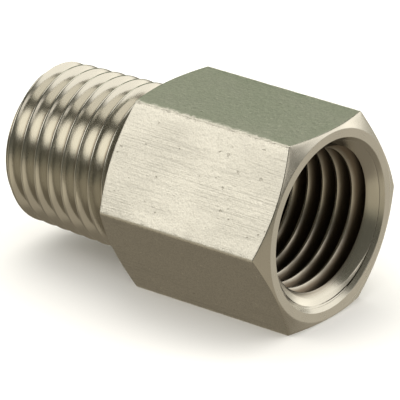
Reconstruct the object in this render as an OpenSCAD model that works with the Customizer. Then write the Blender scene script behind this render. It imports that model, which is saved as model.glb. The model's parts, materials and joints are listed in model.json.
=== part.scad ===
// Male to female hex adapter for 1/4 inch taper pipe thread, turned from one length of hex bar.
// The axis of the fitting is X. X = 0 is the shoulder that the male thread runs up to, the male
// thread points to -X, the female port opens to +X, and the bar lies on a flat, so +Z is a flat.

/* [Hex bar] */
// Width across two opposite flats
across_flats = 16; // [15.8:0.1:17]
// Length of the hexagon from the shoulder to the end face
hex_length = 16.4; // [16:0.1:24]
// Diameter of the round face that the corner chamfers leave at both ends of the hexagon
chamfer_face_d = 15.6; // [14.6:0.1:15.8]
// Angle of the corner chamfers, measured from the end face
chamfer_angle = 25; // [15:1:40]

/* [Taper pipe thread] */
// Distance from one crest to the next: 18 threads to the inch
pitch = 1.4111; // [1.3:0.01:1.5]
// Pitch diameter at the small end of the male thread
male_pitch_d = 12.126; // [12:0.01:12.3]
// Pitch diameter of the female thread at its mouth
female_pitch_d = 12.487; // [12.3:0.01:12.6]
// Crest flat lost from the sharp vee, as a share of the pitch
crest_cut = 0.09; // [0.04:0.01:0.14]
// Root flat left at the bottom of the vee, as a share of the pitch
root_cut = 0.033; // [0.03:0.001:0.06]

/* [Male end] */
// Length from the shoulder to the tip
male_length = 12; // [10:0.1:16]
// Diameter of the tip face inside its chamfer
male_tip_d = 11.1; // [11.1:0.1:12.6]
// Angle of the tip's chamfer, measured from the tip face
tip_chamfer_angle = 35; // [32:1:60]
// Angle about the axis, from +Z towards -Y, at which a crest of the male thread meets the tip
male_phase = 174; // [0:1:359]

/* [Female end] */
// Diameter of the countersink at the end face
countersink_d = 14.2; // [13.9:0.1:14.4]
// Depth of the threaded length from the end face
thread_depth = 10.4; // [9:0.1:11]
// Diameter of the tapping drill
tap_drill_d = 11.1; // [10.9:0.05:11.3]
// Depth of the drilled hole at its full diameter
drill_depth = 13.4; // [12:0.1:14]
// Angle about the axis, from +Z towards -Y, at which a crest of the female thread meets the face
female_phase = 132; // [0:1:359]

/* [Passage] */
// Diameter of the passage through the male end
bore_d = 7; // [5:0.1:8]
// Width of the chamfer at the passage's outer edge
bore_chamfer = 0.3; // [0.1:0.1:0.6]

/* [Fineness] */
// Straight steps in one turn of a thread
thread_steps = 48; // [36:4:60]

/* [Hidden] */

$fn = 96;
bar_color = [0.78, 0.76, 0.69];
thread_color = [0.70, 0.67, 0.60];

taper = 1 / 32;                  // radius gained per length: 1 in 16 on the diameter
flank_slope = 1 / tan(30);       // height gained per length along a 60 degree flank
sharp_height = pitch * cos(30);  // height of the vee before its crest and root are cut
crest_reach = sharp_height / 2 - crest_cut * pitch;  // crest above the pitch line
root_reach = sharp_height / 2 - root_cut * pitch;    // root below the pitch line
thread_height = crest_reach + root_reach;
base_half = pitch / 2 - root_cut * pitch * tan(30);  // half width of a ridge at its base
crest_half = base_half - thread_height * tan(30);    // half width of a ridge at its crest

tip_x = -male_length;
face_x = hex_length;
corner_r = across_flats / sqrt(3);
face_r = chamfer_face_d / 2;
mouth_r = countersink_d / 2;
drill_r = tap_drill_d / 2;
bore_r = bore_d / 2;
tip_r = male_tip_d / 2;
chamfer_rise = (corner_r - face_r) * tan(chamfer_angle);
drill_point = (drill_r - bore_r) / tan(59);
over = 1;                        // how far a cutting shape runs past the face that it cuts

seat = 0.01;                     // gap that seats a ridge on its wall without biting into it
least = 0.02;                    // narrowest edge and lowest height that a ridge is drawn with
chord = cos(180 / thread_steps); // how near a straight step comes to the axis

// Radius of the root of each thread at a place along the axis
function male_root(x) = male_pitch_d / 2 + (x - tip_x) * taper - root_reach;
function female_root(x) = female_pitch_d / 2 + (x - face_x) * taper + root_reach;

// The 90 degree countersink reaches the root of the female thread at this place
groove_x = face_x - (mouth_r - female_pitch_d / 2 - root_reach) / (1 - taper);

// The tip's chamfer and the countersink cut off the start of each thread. Each cut is given by its
// height above the root where the thread starts, and by the height it gains per length.
male_cut = [tip_r - male_root(tip_x), 1 / tan(tip_chamfer_angle) - taper];
female_cut = [0, 1 - taper];

// Keeps a value between two limits
function between(low, value, high) = min(max(value, low), high);

// Height of a ridge at u, where c is the ridge's middle
function vee(u, c) = between(0, (base_half - abs(u - c)) * flank_slope, thread_height);

// Section of a ridge whose middle is c from the start of its thread, as [u, height] at its near
// base, near top, far top and far base. The cut at the start of the thread takes the top down to
// start + slope * u, so both tops move to where the flanks meet that cut.
function section(c, cut, length) =
    let (start = cut[0],
         slope = cut[1],
         near_meets = (start + flank_slope * (c - base_half)) / (flank_slope - slope),
         far_meets = (flank_slope * (c + base_half) - start) / (flank_slope + slope),
         near_base = between(0, c - base_half, length - 3 * least),
         near_top = between(near_base + least, min(c - crest_half, near_meets),
                            length - 2 * least),
         far_top = between(near_top + least, max(c + crest_half, far_meets), length - least),
         far_base = between(far_top + least, c + base_half, length))
    [
        [near_base, seat],
        [near_top, max(least, min(vee(near_top, c), start + slope * near_top))],
        [far_top, max(least, min(vee(far_top, c), start + slope * far_top))],
        [far_base, seat]
    ];

// Corners of one section of each thread, as [x, radius]. The male ridge's base is moved out to
// where the middle of each straight step still clears the core.
function male_corner(p) =
    let (x = tip_x + least + p[0], r = male_root(x) + p[1])
    [x, p[1] > seat ? r : r / chord];
function female_corner(p) =
    let (x = groove_x - least - p[0], r = female_root(x) - p[1])
    [x, max(r, drill_r)];

// A ridge is a row of four-cornered sections, each one step further round and along the axis.
// Both threads are right-handed: a full turn from +Z towards -Y goes one pitch towards +X.
module ridge(sections, start_angle, way) {
    count = len(sections);
    corners = [
        for (i = [0:count - 1])
            let (angle = start_angle + way * 360 * i / thread_steps)
            for (p = sections[i]) [p[0], -p[1] * sin(angle), p[1] * cos(angle)]
    ];
    walls = [
        for (i = [0:count - 2]) for (k = [0:3])
            let (a = 4 * i + k, b = 4 * i + (k + 1) % 4)
            for (t = [[a, b, b + 4], [a, b + 4, a + 4]]) t
    ];
    last = 4 * (count - 1);
    caps = [[3, 2, 1], [3, 1, 0], [last, last + 1, last + 2], [last, last + 2, last + 3]];
    faces = concat(walls, caps);
    polyhedron(corners, way > 0 ? faces : [for (f = faces) [f[2], f[1], f[0]]]);
}

// Hexagonal bar with its six corners turned off at a shallow angle at both ends
module chamfered_hex() {
    intersection() {
        rotate([0, 90, 0]) rotate([0, 0, 30])
            cylinder(r = corner_r, h = hex_length, $fn = 6);
        rotate([0, 90, 0]) rotate_extrude()
            polygon([
                [0, 0],
                [face_r, 0],
                [corner_r + over, chamfer_rise + over * tan(chamfer_angle)],
                [corner_r + over, hex_length - chamfer_rise - over * tan(chamfer_angle)],
                [face_r, hex_length],
                [0, hex_length]
            ]);
    }
}

// Tapered core that carries the male thread, run a little way into the hexagon
module male_core() {
    rotate([0, 90, 0]) rotate_extrude()
        polygon([
            [0, tip_x],
            [male_root(tip_x), tip_x],
            [male_root(over), over],
            [0, over]
        ]);
}

// Everything that is drilled or bored out along the axis, from the mouth to the male tip
module passage() {
    rotate([0, 90, 0]) rotate_extrude()
        polygon([
            [0, tip_x - over],
            [bore_r + bore_chamfer + over, tip_x - over],
            [bore_r, tip_x + bore_chamfer],
            [bore_r, face_x - drill_depth - drill_point],
            [drill_r, face_x - drill_depth],
            [drill_r, face_x - thread_depth],
            [female_root(face_x - thread_depth), face_x - thread_depth],
            [female_root(groove_x), groove_x],
            [mouth_r + over, face_x + over],
            [0, face_x + over]
        ]);
}

module hex_body() {
    color(bar_color) difference() {
        union() {
            chamfered_hex();
            male_core();
        }
        passage();
    }
}

module male_thread() {
    length = male_length - 2 * least;
    first = 4 * least - base_half;
    steps = floor((length + base_half - 4 * least - first) / pitch * thread_steps);
    sections = [
        for (i = [0:steps])
            [for (p = section(first + pitch * i / thread_steps, male_cut, length)) male_corner(p)]
    ];
    start_angle = male_phase + 360 * (first + least) / pitch;
    color(thread_color) ridge(sections, start_angle, 1);
}

module female_thread() {
    length = groove_x - (face_x - thread_depth) - 2 * least;
    first = 4 * least - base_half;
    steps = floor((length + base_half / 2 - first) / pitch * thread_steps);
    sections = [
        for (i = [0:steps])
            [for (p = section(first + pitch * i / thread_steps, female_cut, length))
                female_corner(p)]
    ];
    start_angle = female_phase - 360 * (face_x - groove_x + least + first) / pitch;
    color(thread_color) ridge(sections, start_angle, -1);
}

hex_body();
male_thread();
female_thread();
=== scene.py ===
"""Looks of the hex pipe adapter: drawn hexagon bar, turned ends and two cut taper threads."""

import json
import math

import bpy
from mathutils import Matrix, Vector, noise


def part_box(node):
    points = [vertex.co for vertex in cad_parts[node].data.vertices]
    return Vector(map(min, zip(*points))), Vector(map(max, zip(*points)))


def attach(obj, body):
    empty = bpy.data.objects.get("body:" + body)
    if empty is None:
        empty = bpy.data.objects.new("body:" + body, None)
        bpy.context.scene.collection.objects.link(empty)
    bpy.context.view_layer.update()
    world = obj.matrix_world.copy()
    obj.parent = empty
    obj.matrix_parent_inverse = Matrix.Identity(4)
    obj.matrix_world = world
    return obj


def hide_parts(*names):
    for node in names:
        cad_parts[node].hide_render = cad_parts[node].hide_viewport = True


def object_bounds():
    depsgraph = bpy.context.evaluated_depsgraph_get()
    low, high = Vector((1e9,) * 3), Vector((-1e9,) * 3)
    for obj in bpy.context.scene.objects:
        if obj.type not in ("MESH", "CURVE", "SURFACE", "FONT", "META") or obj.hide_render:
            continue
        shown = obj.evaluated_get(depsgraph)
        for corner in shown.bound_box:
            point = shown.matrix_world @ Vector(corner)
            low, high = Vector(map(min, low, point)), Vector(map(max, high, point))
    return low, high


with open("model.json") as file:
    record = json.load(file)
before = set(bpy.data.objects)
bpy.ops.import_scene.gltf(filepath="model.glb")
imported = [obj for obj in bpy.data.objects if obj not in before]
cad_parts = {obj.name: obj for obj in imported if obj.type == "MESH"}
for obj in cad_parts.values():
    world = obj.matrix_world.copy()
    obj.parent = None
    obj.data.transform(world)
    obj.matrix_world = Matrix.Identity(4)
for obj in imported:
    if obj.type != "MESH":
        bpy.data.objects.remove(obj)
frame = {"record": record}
cad_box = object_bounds()

# ---------------------------------------------------------------- sizes, in metres
MM = 0.001
BAR_LOW, BAR_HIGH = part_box("hex_body")
MOUNTS = {m["name"]: m for m in frame["record"]["mounts"]}
TIP_X = BAR_LOW.x                      # end of the male thread
FACE_X = BAR_HIGH.x                    # end face round the female port
FLAT_R = BAR_HIGH.z                    # axis to a flat
CORNER_R = FLAT_R / math.cos(math.radians(30))
FACE_R = 7.8 * MM                      # round face left by the corner chamfers
CHAMFER = math.radians(25)             # their angle from the end face
MOUTH_R = 7.1 * MM                     # countersink at the end face
BORE_R = MOUNTS["through_bore"]["dims"]["r_mm"] * MM
DRILL_R = MOUNTS["female_port"]["dims"]["r_mm"] * MM
THREAD_DEPTH = 10.4 * MM
DRILL_DEPTH = 13.4 * MM
DRILL_ANGLE = math.radians(59)         # between the drill's point and the axis
DRILL_POINT = (DRILL_R - BORE_R) / math.tan(DRILL_ANGLE)
BORE_CHAMFER = 0.3 * MM
TIP_R = 5.55 * MM                      # tip face inside its chamfer
TIP_CHAMFER = math.radians(35)         # its angle from the tip face

PITCH = 25.4 / 18 * MM
TAPER = 1 / 32                         # radius gained per length
FLANK = 1 / math.tan(math.radians(30))  # height gained per length along a flank
SHARP = PITCH * math.cos(math.radians(30))  # height of the vee before its crest and root are cut
CREST_CUT = 0.09 * PITCH               # what is cut off its crest
ROOT_CUT = 0.033 * PITCH               # and left at its root
CREST_REACH = SHARP / 2 - CREST_CUT    # crest above the pitch line
ROOT_REACH = SHARP / 2 - ROOT_CUT      # root below the pitch line
THREAD_HEIGHT = CREST_REACH + ROOT_REACH
BASE_HALF = PITCH / 2 - ROOT_CUT / FLANK  # half width of a ridge at its base
CREST_HALF = BASE_HALF - THREAD_HEIGHT / FLANK  # and at its crest
MALE_PITCH_R = 12.126 / 2 * MM         # at the tip
FEMALE_PITCH_R = 12.487 / 2 * MM       # at the end face
MALE_PHASE = math.radians(174)         # where a crest meets the tip, from +Z towards -Y
FEMALE_PHASE = math.radians(132)       # and where one meets the end face
# Where the countersink reaches the root of the female thread.
GROOVE_X = FACE_X - (MOUTH_R - FEMALE_PITCH_R - ROOT_REACH) / (1 - TAPER)


def male_root(x):
    """Radius of the male thread's root at a place along the axis."""
    return MALE_PITCH_R + (x - TIP_X) * TAPER - ROOT_REACH


def female_root(x):
    """Radius of the female thread's root at a place along the axis."""
    return FEMALE_PITCH_R + (x - FACE_X) * TAPER + ROOT_REACH


# ---------------------------------------------------------------- mesh helpers
SHARP_EDGE = math.radians(32)          # from this angle on, an edge is shaded as a sharp one


def new_object(name, verts, faces, materials, index=None):
    """A smoothly shaded mesh object; index says which of its materials each face has."""
    mesh = bpy.data.meshes.new(name)
    mesh.from_pydata(verts, [], faces)
    for material in materials:
        mesh.materials.append(material)
    if index:
        mesh.polygons.foreach_set("material_index", index)
    mesh.polygons.foreach_set("use_smooth", [True] * len(mesh.polygons))
    mesh.validate()
    mesh.set_sharp_from_angle(angle=SHARP_EDGE)
    obj = bpy.data.objects.new(name, mesh)
    bpy.context.scene.collection.objects.link(obj)
    return obj


def at(x, r, angle):
    """A point from its place along the axis, its radius and its angle from +Z towards -Y."""
    return (x, -r * math.sin(angle), r * math.cos(angle))


def between(low, value, high):
    """A value kept between two limits."""
    return min(max(value, low), high)


def fillet(before, corner, after, radius, steps):
    """Points of an arc that rounds a corner of an outline in the (x, r) plane."""
    a = (before - corner).normalized()
    b = (after - corner).normalized()
    half = a.angle(b) / 2
    reach = radius / math.tan(half)
    start, end = corner + a * reach, corner + b * reach
    centre = corner + (a + b).normalized() * (radius / math.sin(half))
    points = []
    for i in range(steps + 1):
        ray = (start - centre).lerp(end - centre, i / steps).normalized()
        points.append(centre + ray * radius)
    return points


# ---------------------------------------------------------------- hexagon bar
EDGE_R = 0.22 * MM                     # rounding of the bar's six long edges
EDGE_WEAR = (0.08 * MM, *[0.02 * MM] * 5)  # how deep each edge is nicked, from +Z towards -Y
EDGE_REACH = math.atan2(EDGE_R * math.tan(math.radians(30)), CORNER_R)  # half angle of a rounding
FLAT_STEPS = 24                        # steps round the bar over a flat
EDGE_STEPS = 6                         # and over a rounded edge
ARC_STEPS = 4                          # steps of a rounded corner of the outline
NICK_ENDS = 0.3 * MM                   # length at both ends of the bar that stays without nicks
NICK_LENGTHS = (0.25 * MM, 1.1 * MM)   # lengths of the small nicks and of the worn stretches


def bar_angles():
    """Angles round the bar, closer together at its six rounded edges."""
    angles = []
    for side in range(6):
        middle = math.radians(60 * side)
        edge = math.radians(30) - EDGE_REACH
        angles += [middle - edge + 2 * edge * i / FLAT_STEPS for i in range(FLAT_STEPS)]
        angles += [middle + edge + 2 * EDGE_REACH * i / EDGE_STEPS for i in range(EDGE_STEPS)]
    return angles


def hexagon_radius(angle):
    """Radius of the hexagon with rounded corners at an angle."""
    flat = (angle + math.radians(30)) % math.radians(60) - math.radians(30)
    plain = FLAT_R / math.cos(flat)
    off = math.radians(30) - abs(flat)
    centre = CORNER_R - EDGE_R / math.sin(math.radians(60))
    under = EDGE_R ** 2 - (centre * math.sin(off)) ** 2
    if under <= 0:
        return plain
    return min(plain, centre * math.cos(off) + math.sqrt(under))


def outline(angle):
    """Corners of the bar's closed outline at an angle.

    Each is ((x, r), its rounding in mm, how many steps lead to the next corner, their material).
    """
    r_hex = hexagon_radius(angle)
    run = (r_hex - FACE_R) * math.tan(CHAMFER)
    drill_x = FACE_X - DRILL_DEPTH
    thread_x = FACE_X - THREAD_DEPTH
    return [
        ((TIP_X, BORE_R + BORE_CHAMFER), 0.05, 3, "turned"),
        ((TIP_X, male_root(TIP_X)), 0.05, 24, "male"),
        ((0, male_root(0)), 0.05, 4, "turned"),
        ((0, FACE_R), 0.2, 3, "turned"),
        ((run, r_hex), 0.1, 110, "flat"),
        ((FACE_X - run, r_hex), 0.1, 3, "turned"),
        ((FACE_X, FACE_R), 0.25, 3, "turned"),
        ((FACE_X, MOUTH_R), 0.05, 3, "turned"),
        ((GROOVE_X, female_root(GROOVE_X)), 0.01, 24, "female"),
        ((thread_x, female_root(thread_x)), 0.05, 2, "bored"),
        ((thread_x, DRILL_R), 0.05, 6, "bored"),
        ((drill_x, DRILL_R), 0.05, 3, "bored"),
        ((drill_x - DRILL_POINT, BORE_R), 0.05, 24, "bored"),
        ((TIP_X + BORE_CHAMFER, BORE_R), 0.05, 2, "turned"),
    ]


def nicked(x, r, angle):
    """A radius on the bar's skin, a little less in the nicks of its long edges."""
    side = int(angle // math.radians(60)) % 6
    off = abs(angle % math.radians(60) - math.radians(30)) / EDGE_REACH
    if off >= 1 or not NICK_ENDS < x < FACE_X - NICK_ENDS:
        return r
    small, long = NICK_LENGTHS
    depth = 0.25 + 0.7 * noise.noise(Vector((x / small, 7.3 * side, angle / EDGE_REACH)))
    depth += 0.7 * noise.noise(Vector((x / long, 3.1 * side, 0)))
    return r - EDGE_WEAR[side] * between(0, depth, 1) * (1 - off * off)


def bar_ring(angle):
    """All points of the bar's outline at an angle, with the material of the stretch after each."""
    corners = outline(angle)
    arcs = []
    for i, (place, radius, _, _) in enumerate(corners):
        before = Vector(corners[i - 1][0])
        after = Vector(corners[(i + 1) % len(corners)][0])
        arcs.append(fillet(before, Vector(place), after, radius * MM, ARC_STEPS))
    points, finishes = [], []
    for i, (_, _, count, finish) in enumerate(corners):
        arc, following = arcs[i], arcs[(i + 1) % len(arcs)]
        points += arc
        finishes += [finish] * len(arc)
        for k in range(1, count):
            point = arc[-1].lerp(following[0], k / count)
            if finish == "flat":
                point.y = nicked(point.x, point.y, angle)
            points.append(point)
            finishes.append(finish)
    return points, finishes


def make_bar(materials):
    """The bar, closed all round: hexagon, core of the male end, port and passage."""
    angles = bar_angles()
    verts, faces, index = [], [], []
    names = list(materials)
    for i, angle in enumerate(angles):
        points, finishes = bar_ring(angle)
        count = len(points)
        verts += [at(p.x, p.y, angle) for p in points]
        here, there = i * count, (i + 1) % len(angles) * count
        for k in range(count):
            after = (k + 1) % count
            faces.append((here + k, here + after, there + after, there + k))
            index.append(names.index(finishes[k]))
    return new_object("hexagon_bar", verts, faces, materials.values(), index)


# ---------------------------------------------------------------- threads
STEPS = 240                            # sections in one turn
LEAST = 0.02 * MM                      # narrowest edge and lowest height of a ridge
SUNK = 0.03 * MM                       # how far a ridge's foot goes into the wall behind it
CREST_SOFT = 0.07 * MM                 # how far the rounding of a crest's two edges reaches
CREST_STEPS = 3                        # and its steps
FIRST = 4 * LEAST - BASE_HALF          # where a ridge's middle starts, from its thread's start


def vee(u, c):
    """Height at u of a sharp-rooted ridge whose middle is c."""
    return between(0, (BASE_HALF - abs(u - c)) * FLANK, THREAD_HEIGHT)


def ridge_section(c, cut, length):
    """Outline (u, height) of a ridge whose middle is c from where its thread starts.

    cut is the height and the slope of the chamfer or countersink that cuts off that start.
    """
    start, slope = cut
    near_meets = (start + FLANK * (c - BASE_HALF)) / (FLANK - slope)
    far_meets = (FLANK * (c + BASE_HALF) - start) / (FLANK + slope)
    near_base = between(0, c - BASE_HALF, length - 3 * LEAST)
    near_top = between(near_base + LEAST, min(c - CREST_HALF, near_meets), length - 2 * LEAST)
    far_top = between(near_top + LEAST, max(c + CREST_HALF, far_meets), length - LEAST)
    far_base = between(far_top + LEAST, c + BASE_HALF, length)
    near_high = max(LEAST, min(vee(near_top, c), start + slope * near_top))
    far_high = max(LEAST, min(vee(far_top, c), start + slope * far_top))
    return [(near_base, -SUNK), (near_top, near_high), (far_top, far_high), (far_base, -SUNK)]


def ridge_points(c, cut, length):
    """The section with its two top corners rounded."""
    a, b, d, e = [Vector(p) for p in ridge_section(c, cut, length)]
    soft = min(CREST_SOFT, (d - b).length * 0.48, (b - a).length * 0.3, (e - d).length * 0.3)
    points = [a, a.lerp(b, 0.5)]
    for before, corner, after in ((a, b, d), (b, d, e)):
        near = corner.lerp(before, soft / (corner - before).length)
        far = corner.lerp(after, soft / (corner - after).length)
        for k in range(CREST_STEPS + 1):
            t = k / CREST_STEPS
            points.append(near.lerp(corner, t).lerp(corner.lerp(far, t), t))
    return points + [d.lerp(e, 0.5), e]


def make_ridge(name, material, cut, length, last, place, start_angle, way):
    """A helical ridge from just before the start of its thread until its middle is at last.

    place turns (u, height) into (x, radius), and way is 1 or -1 for the way it turns.
    """
    count = int((last - FIRST) / PITCH * STEPS)
    verts, faces = [], []
    for i in range(count + 1):
        angle = start_angle + way * 2 * math.pi * i / STEPS
        points = ridge_points(FIRST + PITCH * i / STEPS, cut, length)
        size = len(points)
        for p in points:
            x, r = place(p.x, p.y)
            verts.append(at(x, r, angle))
        if i:
            here = (i - 1) * size
            for k in range(size):
                after = (k + 1) % size
                faces.append((here + k, here + after, here + size + after, here + size + k))
    faces.append(tuple(range(size))[::-1])
    faces.append(tuple(range(count * size, (count + 1) * size)))
    if way > 0:
        faces = [face[::-1] for face in faces]
    return new_object(name, verts, faces, [material])


def male_place(u, height):
    """Place and radius of a point of the male ridge, which starts at the tip."""
    x = TIP_X + LEAST + u
    return x, male_root(x) + height


def female_place(u, height):
    """Place and radius of a point of the female ridge, which starts at the countersink."""
    x = GROOVE_X - LEAST - u
    return x, max(female_root(x) - height, DRILL_R)


def make_male_ridge(material):
    """The male thread's ridge, from the tip's chamfer to the shoulder."""
    length = -TIP_X - 2 * LEAST
    start_angle = MALE_PHASE + 2 * math.pi * (FIRST + LEAST) / PITCH
    cut = (TIP_R - male_root(TIP_X), 1 / math.tan(TIP_CHAMFER) - TAPER)
    return make_ridge("male_thread_ridge", material, cut, length,
                      length + BASE_HALF - 4 * LEAST, male_place, start_angle, 1)


def make_female_ridge(material):
    """The female thread's ridge, from the countersink to the end of the threaded length."""
    length = GROOVE_X - (FACE_X - THREAD_DEPTH) - 2 * LEAST
    start_angle = FEMALE_PHASE - 2 * math.pi * (FACE_X - GROOVE_X + LEAST + FIRST) / PITCH
    return make_ridge("female_thread_ridge", material, (0, 1 - TAPER), length,
                      length + BASE_HALF / 2, female_place, start_angle, -1)


# ---------------------------------------------------------------- materials
STEEL = Vector((0.66, 0.64, 0.585))
RECESS_SHADE = Vector((0.30, 0.245, 0.19))  # painted shade in the roots of the threads and inside the port and passage
PIT = Vector((0.22, 0.19, 0.15))       # bottom of a pit
MALE_SHADE_FADE = (-0.2 * MM, 0.22 * MM)    # heights above the root between which the painted root shade fades out
FEMALE_SHADE_FADE = (0.6 * MM, 1.08 * MM)   # the same for the female thread
MOUTH_SHADE_FADE = (1.6 * MM, 0.8 * MM)     # depths in the port between which the painted root shade fades out towards the mouth


def node_of(tree, kind, inputs=(), **settings):
    """A shader node with its settings, and its inputs linked or set in order."""
    node = tree.nodes.new(kind)
    for key, value in settings.items():
        setattr(node, key, value)
    for key, value in dict(inputs).items():
        if isinstance(value, bpy.types.NodeSocket):
            tree.links.new(value, node.inputs[key])
        else:
            node.inputs[key].default_value = value
    return node


def spread(tree, value, low, high):
    """A value that goes smoothly from 0 to 1 as another goes from low to high."""
    return node_of(tree, "ShaderNodeMapRange", {0: value, 1: low, 2: high},
                   interpolation_type="SMOOTHSTEP").outputs[0]


def sum_of(tree, *terms):
    """The sum of (value, weight) terms."""
    total = 0.0
    for value, weight in terms:
        total = node_of(tree, "ShaderNodeMath", {0: value, 1: weight, 2: total},
                        operation="MULTIPLY_ADD").outputs[0]
    return total


def product(tree, a, b):
    """The product of two values."""
    return node_of(tree, "ShaderNodeMath", {0: a, 1: b}, operation="MULTIPLY").outputs[0]


def grain(tree, vector, size, stretch=(1, 1, 1), detail=2.0):
    """Noise whose grains have a size in metres, pulled out by a factor along each axis."""
    scale = tuple(1 / (size * s) for s in stretch)
    place = node_of(tree, "ShaderNodeVectorMath", {0: vector, 1: scale},
                    operation="MULTIPLY").outputs[0]
    return node_of(tree, "ShaderNodeTexNoise",
                   {"Vector": place, "Scale": 1.0, "Detail": detail}).outputs[0]


def place_of(tree):
    """The place on the fitting, its distance along the axis and its radius."""
    place = node_of(tree, "ShaderNodeTexCoord").outputs["Object"]
    parts = node_of(tree, "ShaderNodeSeparateXYZ", {0: place})
    across = node_of(tree, "ShaderNodeCombineXYZ", {1: parts.outputs[1], 2: parts.outputs[2]})
    radius = node_of(tree, "ShaderNodeVectorMath", {0: across.outputs[0]},
                     operation="LENGTH").outputs["Value"]
    return place, parts.outputs[0], radius


def turned_place(tree, along, radius):
    """Coordinates that are the same all the way round the axis, for marks left by turning."""
    return node_of(tree, "ShaderNodeCombineXYZ", {0: along, 1: radius}).outputs[0]


def new_steel(name):
    """A bare metal material, its node tree and its shader."""
    material = bpy.data.materials.new(name)
    material.use_nodes = True
    bsdf = material.node_tree.nodes["Principled BSDF"]
    bsdf.inputs["Metallic"].default_value = 1
    return material, material.node_tree, bsdf


def tint(tree, *colours):
    """The steel's colour, blended towards each (colour, share) in turn."""
    result = (*STEEL, 1)
    for colour, share in colours:
        result = node_of(tree, "ShaderNodeMix", {0: share, 6: result, 7: (*colour, 1)},
                         data_type="RGBA").outputs[2]
    return result


def finish_steel(tree, bsdf, colour, roughness, height, depth):
    """Links a steel's colour, roughness and relief; depth is the relief's height in metres."""
    bump = node_of(tree, "ShaderNodeBump", {"Height": height, "Distance": depth}).outputs[0]
    for name, value in (("Base Color", colour), ("Roughness", roughness), ("Normal", bump)):
        tree.links.new(value, bsdf.inputs[name])


def drawn_steel():
    """Skin of the drawn bar: a fine matt grain, lengthwise draw lines, pits, pale specks and a
    painted highlight along its long edges.
    """
    material, tree, bsdf = new_steel("drawn_steel")
    place, _, radius = place_of(tree)
    fine = grain(tree, place, 0.13 * MM, detail=3)
    coarse = grain(tree, place, 0.3 * MM, stretch=(1.3, 1, 1), detail=1)
    lines = grain(tree, place, 0.10 * MM, stretch=(40, 1, 1))
    patches = grain(tree, place, 5 * MM, stretch=(2, 1, 1))
    lined = spread(tree, patches, 0.42, 0.6)
    pits = spread(tree, grain(tree, place, 0.3 * MM, stretch=(1.5, 1, 1), detail=0), 0.80, 0.85)
    specks = spread(tree, grain(tree, place, 0.25 * MM, stretch=(1, 2, 1), detail=0), 0.79, 0.83)
    blotches = spread(tree, grain(tree, place, 2.5 * MM, stretch=(2, 1, 1)), 0.3, 0.7)
    # Painted highlight: a ragged band along the six long edges is made paler than the steel, over
    # their nicked rounding.
    ragged = sum_of(tree, (radius, 1.0), (fine, 0.25 * MM), (1.0, -0.125 * MM))
    edge = spread(tree, ragged, CORNER_R - 0.14 * MM, CORNER_R - 0.04 * MM)
    hollows = spread(tree, fine, 0.58, 0.4)
    scored = product(tree, spread(tree, lines, 0.52, 0.36), lined)
    colour = tint(tree,
                  (STEEL * 0.93, product(tree, blotches, 0.5)),
                  (STEEL * 0.72, product(tree, hollows, 0.55)),
                  (STEEL * 0.68, product(tree, scored, 0.55)),
                  (PIT, product(tree, pits, 0.28)),
                  (STEEL * 1.3, product(tree, specks, 0.6)),
                  (STEEL * 1.35, product(tree, edge, 0.7)))
    roughness = sum_of(tree, (blotches, 0.03), (fine, 0.1), (specks, 0.15), (edge, 0.1),
                       (1.0, 0.32))
    height = sum_of(tree, (fine, 0.8), (coarse, 1.0), (product(tree, lines, lined), 0.8),
                    (pits, -0.8))
    finish_steel(tree, bsdf, colour, roughness, height, 0.016 * MM)
    return material


def turned_steel():
    """Faces cut on the lathe: very fine rings round the axis, with a satin sheen."""
    material, tree, bsdf = new_steel("turned_steel")
    place, along, radius = place_of(tree)
    rings = grain(tree, turned_place(tree, along, radius), 0.05 * MM, detail=3)
    blotches = spread(tree, grain(tree, place, 1.5 * MM), 0.3, 0.7)
    fine = grain(tree, place, 0.08 * MM)
    colour = tint(tree,
                  (STEEL * 0.88, product(tree, rings, 0.5)),
                  (STEEL * 0.93, product(tree, blotches, 0.5)))
    roughness = sum_of(tree, (blotches, 0.05), (rings, 0.08), (1.0, 0.19))
    height = sum_of(tree, (rings, 0.8), (fine, 0.3))
    finish_steel(tree, bsdf, colour, roughness, height, 0.003 * MM)
    return material


def cut_thread(name, root, way, unshaded, root_shade, gloss):
    """A cut thread with painted shade in its roots: darker there, plain steel at its crests.

    root is the thread's root radius at X = 0, way is 1 outside and -1 inside, and unshaded gives
    the heights above the root at which the painted shade starts to fade and is gone. Near the
    mouth of the port the roots get no painted shade.
    """
    material, tree, bsdf = new_steel(name)
    place, along, radius = place_of(tree)
    height_here = sum_of(tree, (radius, way), (along, -TAPER * way), (1.0, -root * way))
    shade = grain(tree, place, 0.5 * MM, stretch=(1, 2, 2))
    unshaded = spread(tree, sum_of(tree, (height_here, 1.0), (shade, -0.15 * MM)), *unshaded)
    mouth = spread(tree, along, FACE_X - MOUTH_SHADE_FADE[0], FACE_X - MOUTH_SHADE_FADE[1])
    unshaded = node_of(tree, "ShaderNodeMath", {0: unshaded, 1: mouth}, operation="MAXIMUM").outputs[0]
    rings = grain(tree, turned_place(tree, along, radius), 0.06 * MM, detail=2)
    chatter = grain(tree, place, 0.16 * MM)
    # Painted shade: the roots are blended towards a dark brown that fades out up the flanks and
    # near the mouth of the port.
    colour = tint(tree,
                  (STEEL * 0.86, product(tree, rings, 0.5)),
                  (root_shade, sum_of(tree, (unshaded, -1.0), (1.0, 1.0))))
    roughness = sum_of(tree, (unshaded, -0.18), (rings, 0.05), (1.0, gloss + 0.18))
    height = sum_of(tree, (rings, 0.4), (chatter, 0.8))
    finish_steel(tree, bsdf, colour, roughness, height, 0.003 * MM)
    return material


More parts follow.
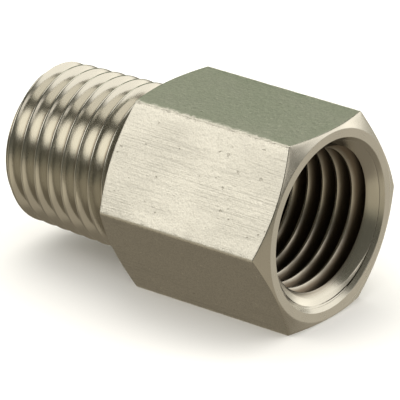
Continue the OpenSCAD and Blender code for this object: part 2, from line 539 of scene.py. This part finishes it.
def bored_steel():
    """Inside of the drilled port and passage: coarser rings, a dull surface and blotches of
    painted shade.
    """
    material, tree, bsdf = new_steel("bored_steel")
    place, along, radius = place_of(tree)
    rings = grain(tree, turned_place(tree, along, radius), 0.12 * MM, detail=3)
    blotches = grain(tree, place, 1.2 * MM)
    # Painted shade: the bore is blended in blotches towards the dark brown of the thread roots.
    colour = tint(tree,
                  (RECESS_SHADE, spread(tree, blotches, 0.3, 0.8)),
                  (STEEL * 0.7, product(tree, rings, 0.4)))
    roughness = sum_of(tree, (rings, 0.1), (blotches, 0.1), (1.0, 0.28))
    finish_steel(tree, bsdf, colour, roughness, rings, 0.006 * MM)
    return material


def make_materials():
    """The steels, by the names that outline() gives them."""
    return {
        "flat": drawn_steel(),
        "turned": turned_steel(),
        "male": cut_thread("cut_thread_steel", male_root(0), 1, MALE_SHADE_FADE, RECESS_SHADE, 0.15),
        "female": cut_thread("tapped_thread_steel", female_root(0), -1, FEMALE_SHADE_FADE,
                             RECESS_SHADE * 0.85, 0.2),
        "bored": bored_steel(),
    }


# ---------------------------------------------------------------- stage, light, camera
AZIMUTH, ELEVATION = math.radians(38.08), math.radians(23.51)
DISTANCE = 393.1 * MM
LENS = 458.7                           # focal length in mm, on Blender's 36 mm wide film
AIM = Vector((9.88, -8.23, 3.23)) * MM  # the point in the middle of the picture
FLOOR_SIDE = 3.0                       # half the floor's width
FLOOR_COLOUR = (0.86, 0.85, 0.83, 1)


def direction(azimuth_deg, elevation_deg):
    """Unit vector from +X turned towards +Y, then up."""
    a, e = math.radians(azimuth_deg), math.radians(elevation_deg)
    return Vector((math.cos(a) * math.cos(e), math.sin(a) * math.cos(e), math.sin(e)))


def make_camera():
    """A long lens that looks at the fitting from its female port's side, a little from above."""
    back = Vector((math.sin(AZIMUTH) * math.cos(ELEVATION),
                   -math.cos(AZIMUTH) * math.cos(ELEVATION), math.sin(ELEVATION)))
    data = bpy.data.cameras.new("camera")
    data.lens = LENS
    data.clip_start, data.clip_end = 0.01, 20
    camera = bpy.data.objects.new("camera", data)
    camera.rotation_euler = back.to_track_quat("Z", "Y").to_euler()
    camera.location = AIM + back * DISTANCE
    bpy.context.scene.collection.objects.link(camera)
    bpy.context.scene.camera = camera


def make_floor(height):
    """A pale floor that the metal doesn't mirror: the world has its own table for that."""
    corners = ((-1, -1), (1, -1), (1, 1), (-1, 1))
    verts = [(x * FLOOR_SIDE, y * FLOOR_SIDE, height) for x, y in corners]
    material = bpy.data.materials.new("pale_floor")
    material.use_nodes = True
    bsdf = material.node_tree.nodes["Principled BSDF"]
    bsdf.inputs["Base Color"].default_value = FLOOR_COLOUR
    bsdf.inputs["Roughness"].default_value = 0.8
    bsdf.inputs["Specular IOR Level"].default_value = 0.1
    floor = new_object("floor", verts, [(0, 1, 2, 3)], [material])
    floor.visible_glossy = False


# Soft areas of light that the metal mirrors: softboxes above the table and bright parts of the
# table itself, as (azimuth, elevation, half width, softness, radiance), with angles in degrees.
LAMPS = {
    "right_back": (57, 24, 25, 8, (1.20, 1.15, 1.04)),
    "right": (5, 17, 8, 6, (1.0, 0.94, 0.84)),
    "overhead_back": (137, 62, 24, 5, (1.4, 1.35, 1.22)),
    "back_left": (128, 16, 16, 10, (0.0, 0.085, 0.0)),  # the green cast of the top flat
    "front_left": (231, 34, 14, 11, (2.1, 2.03, 1.84)),
    "ground_right": (0, -29, 22, 8, (0.20, 0.18, 0.14)),
    "ground_right_front": (-36, -24, 16, 8, (0.24, 0.22, 0.16)),
    "ground_back": (62, -20, 24, 10, (0.38, 0.36, 0.31)),
    "ground_back_left": (112, -28, 20, 10, (0.26, 0.25, 0.21)),
    "ground_front": (225, -24, 26, 8, (0.28, 0.26, 0.2)),
}
HORIZON = -11.5                        # elevation at which the table ends, in degrees
GROUND = (0.245, 0.213, 0.16)          # the table
REST = (0.12, 0.115, 0.09)             # the room above it


def make_world():
    """The studio that the metal mirrors: the table, the dim room and the soft lamps."""
    world = bpy.data.worlds.new("studio")
    world.use_nodes = True
    tree = world.node_tree
    ray = node_of(tree, "ShaderNodeTexCoord").outputs["Generated"]
    height = node_of(tree, "ShaderNodeSeparateXYZ", {0: ray}).outputs["Z"]
    sky = node_of(tree, "ShaderNodeMapRange",
                  {0: height, 1: math.sin(math.radians(HORIZON - 1)),
                   2: math.sin(math.radians(HORIZON + 1))}).outputs[0]
    total = node_of(tree, "ShaderNodeMix", {0: sky, 6: (*GROUND, 1), 7: (*REST, 1)},
                    data_type="RGBA").outputs[2]
    for azimuth, elevation, half, soft, radiance in LAMPS.values():
        near = node_of(tree, "ShaderNodeVectorMath", {0: ray, 1: direction(azimuth, elevation)},
                       operation="DOT_PRODUCT").outputs["Value"]
        share = spread(tree, near, math.cos(math.radians(half + soft)),
                       math.cos(math.radians(half)))
        glow = node_of(tree, "ShaderNodeVectorMath", {0: radiance, "Scale": share},
                       operation="SCALE").outputs[0]
        total = node_of(tree, "ShaderNodeVectorMath", {0: total, 1: glow},
                        operation="ADD").outputs[0]
    background = tree.nodes["Background"]
    tree.links.new(total, background.inputs["Color"])
    bpy.context.scene.world = world


def make_lights():
    """The mirrored studio, and a wide soft light from above for the floor."""
    sun = bpy.data.lights.new("overhead", "SUN")
    sun.energy = 3.2
    sun.angle = math.radians(140)
    lamp = bpy.data.objects.new("overhead", sun)
    lamp.visible_glossy = False
    bpy.context.scene.collection.objects.link(lamp)
    make_world()


bpy.context.scene.view_settings.view_transform = "Standard"
materials = make_materials()
pieces = [
    (make_bar(materials), "hex_body", "bar"),
    (make_male_ridge(materials["male"]), "male_thread", "thread"),
    (make_female_ridge(materials["female"]), "female_thread", "thread"),
]
for piece, node, slot in pieces:
    even = piece.modifiers.new("even_faces", "WEIGHTED_NORMAL")
    even.keep_sharp = True
    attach(piece, "root")
    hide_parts(node)

make_camera()
make_floor(cad_box[0].z)
make_lights()
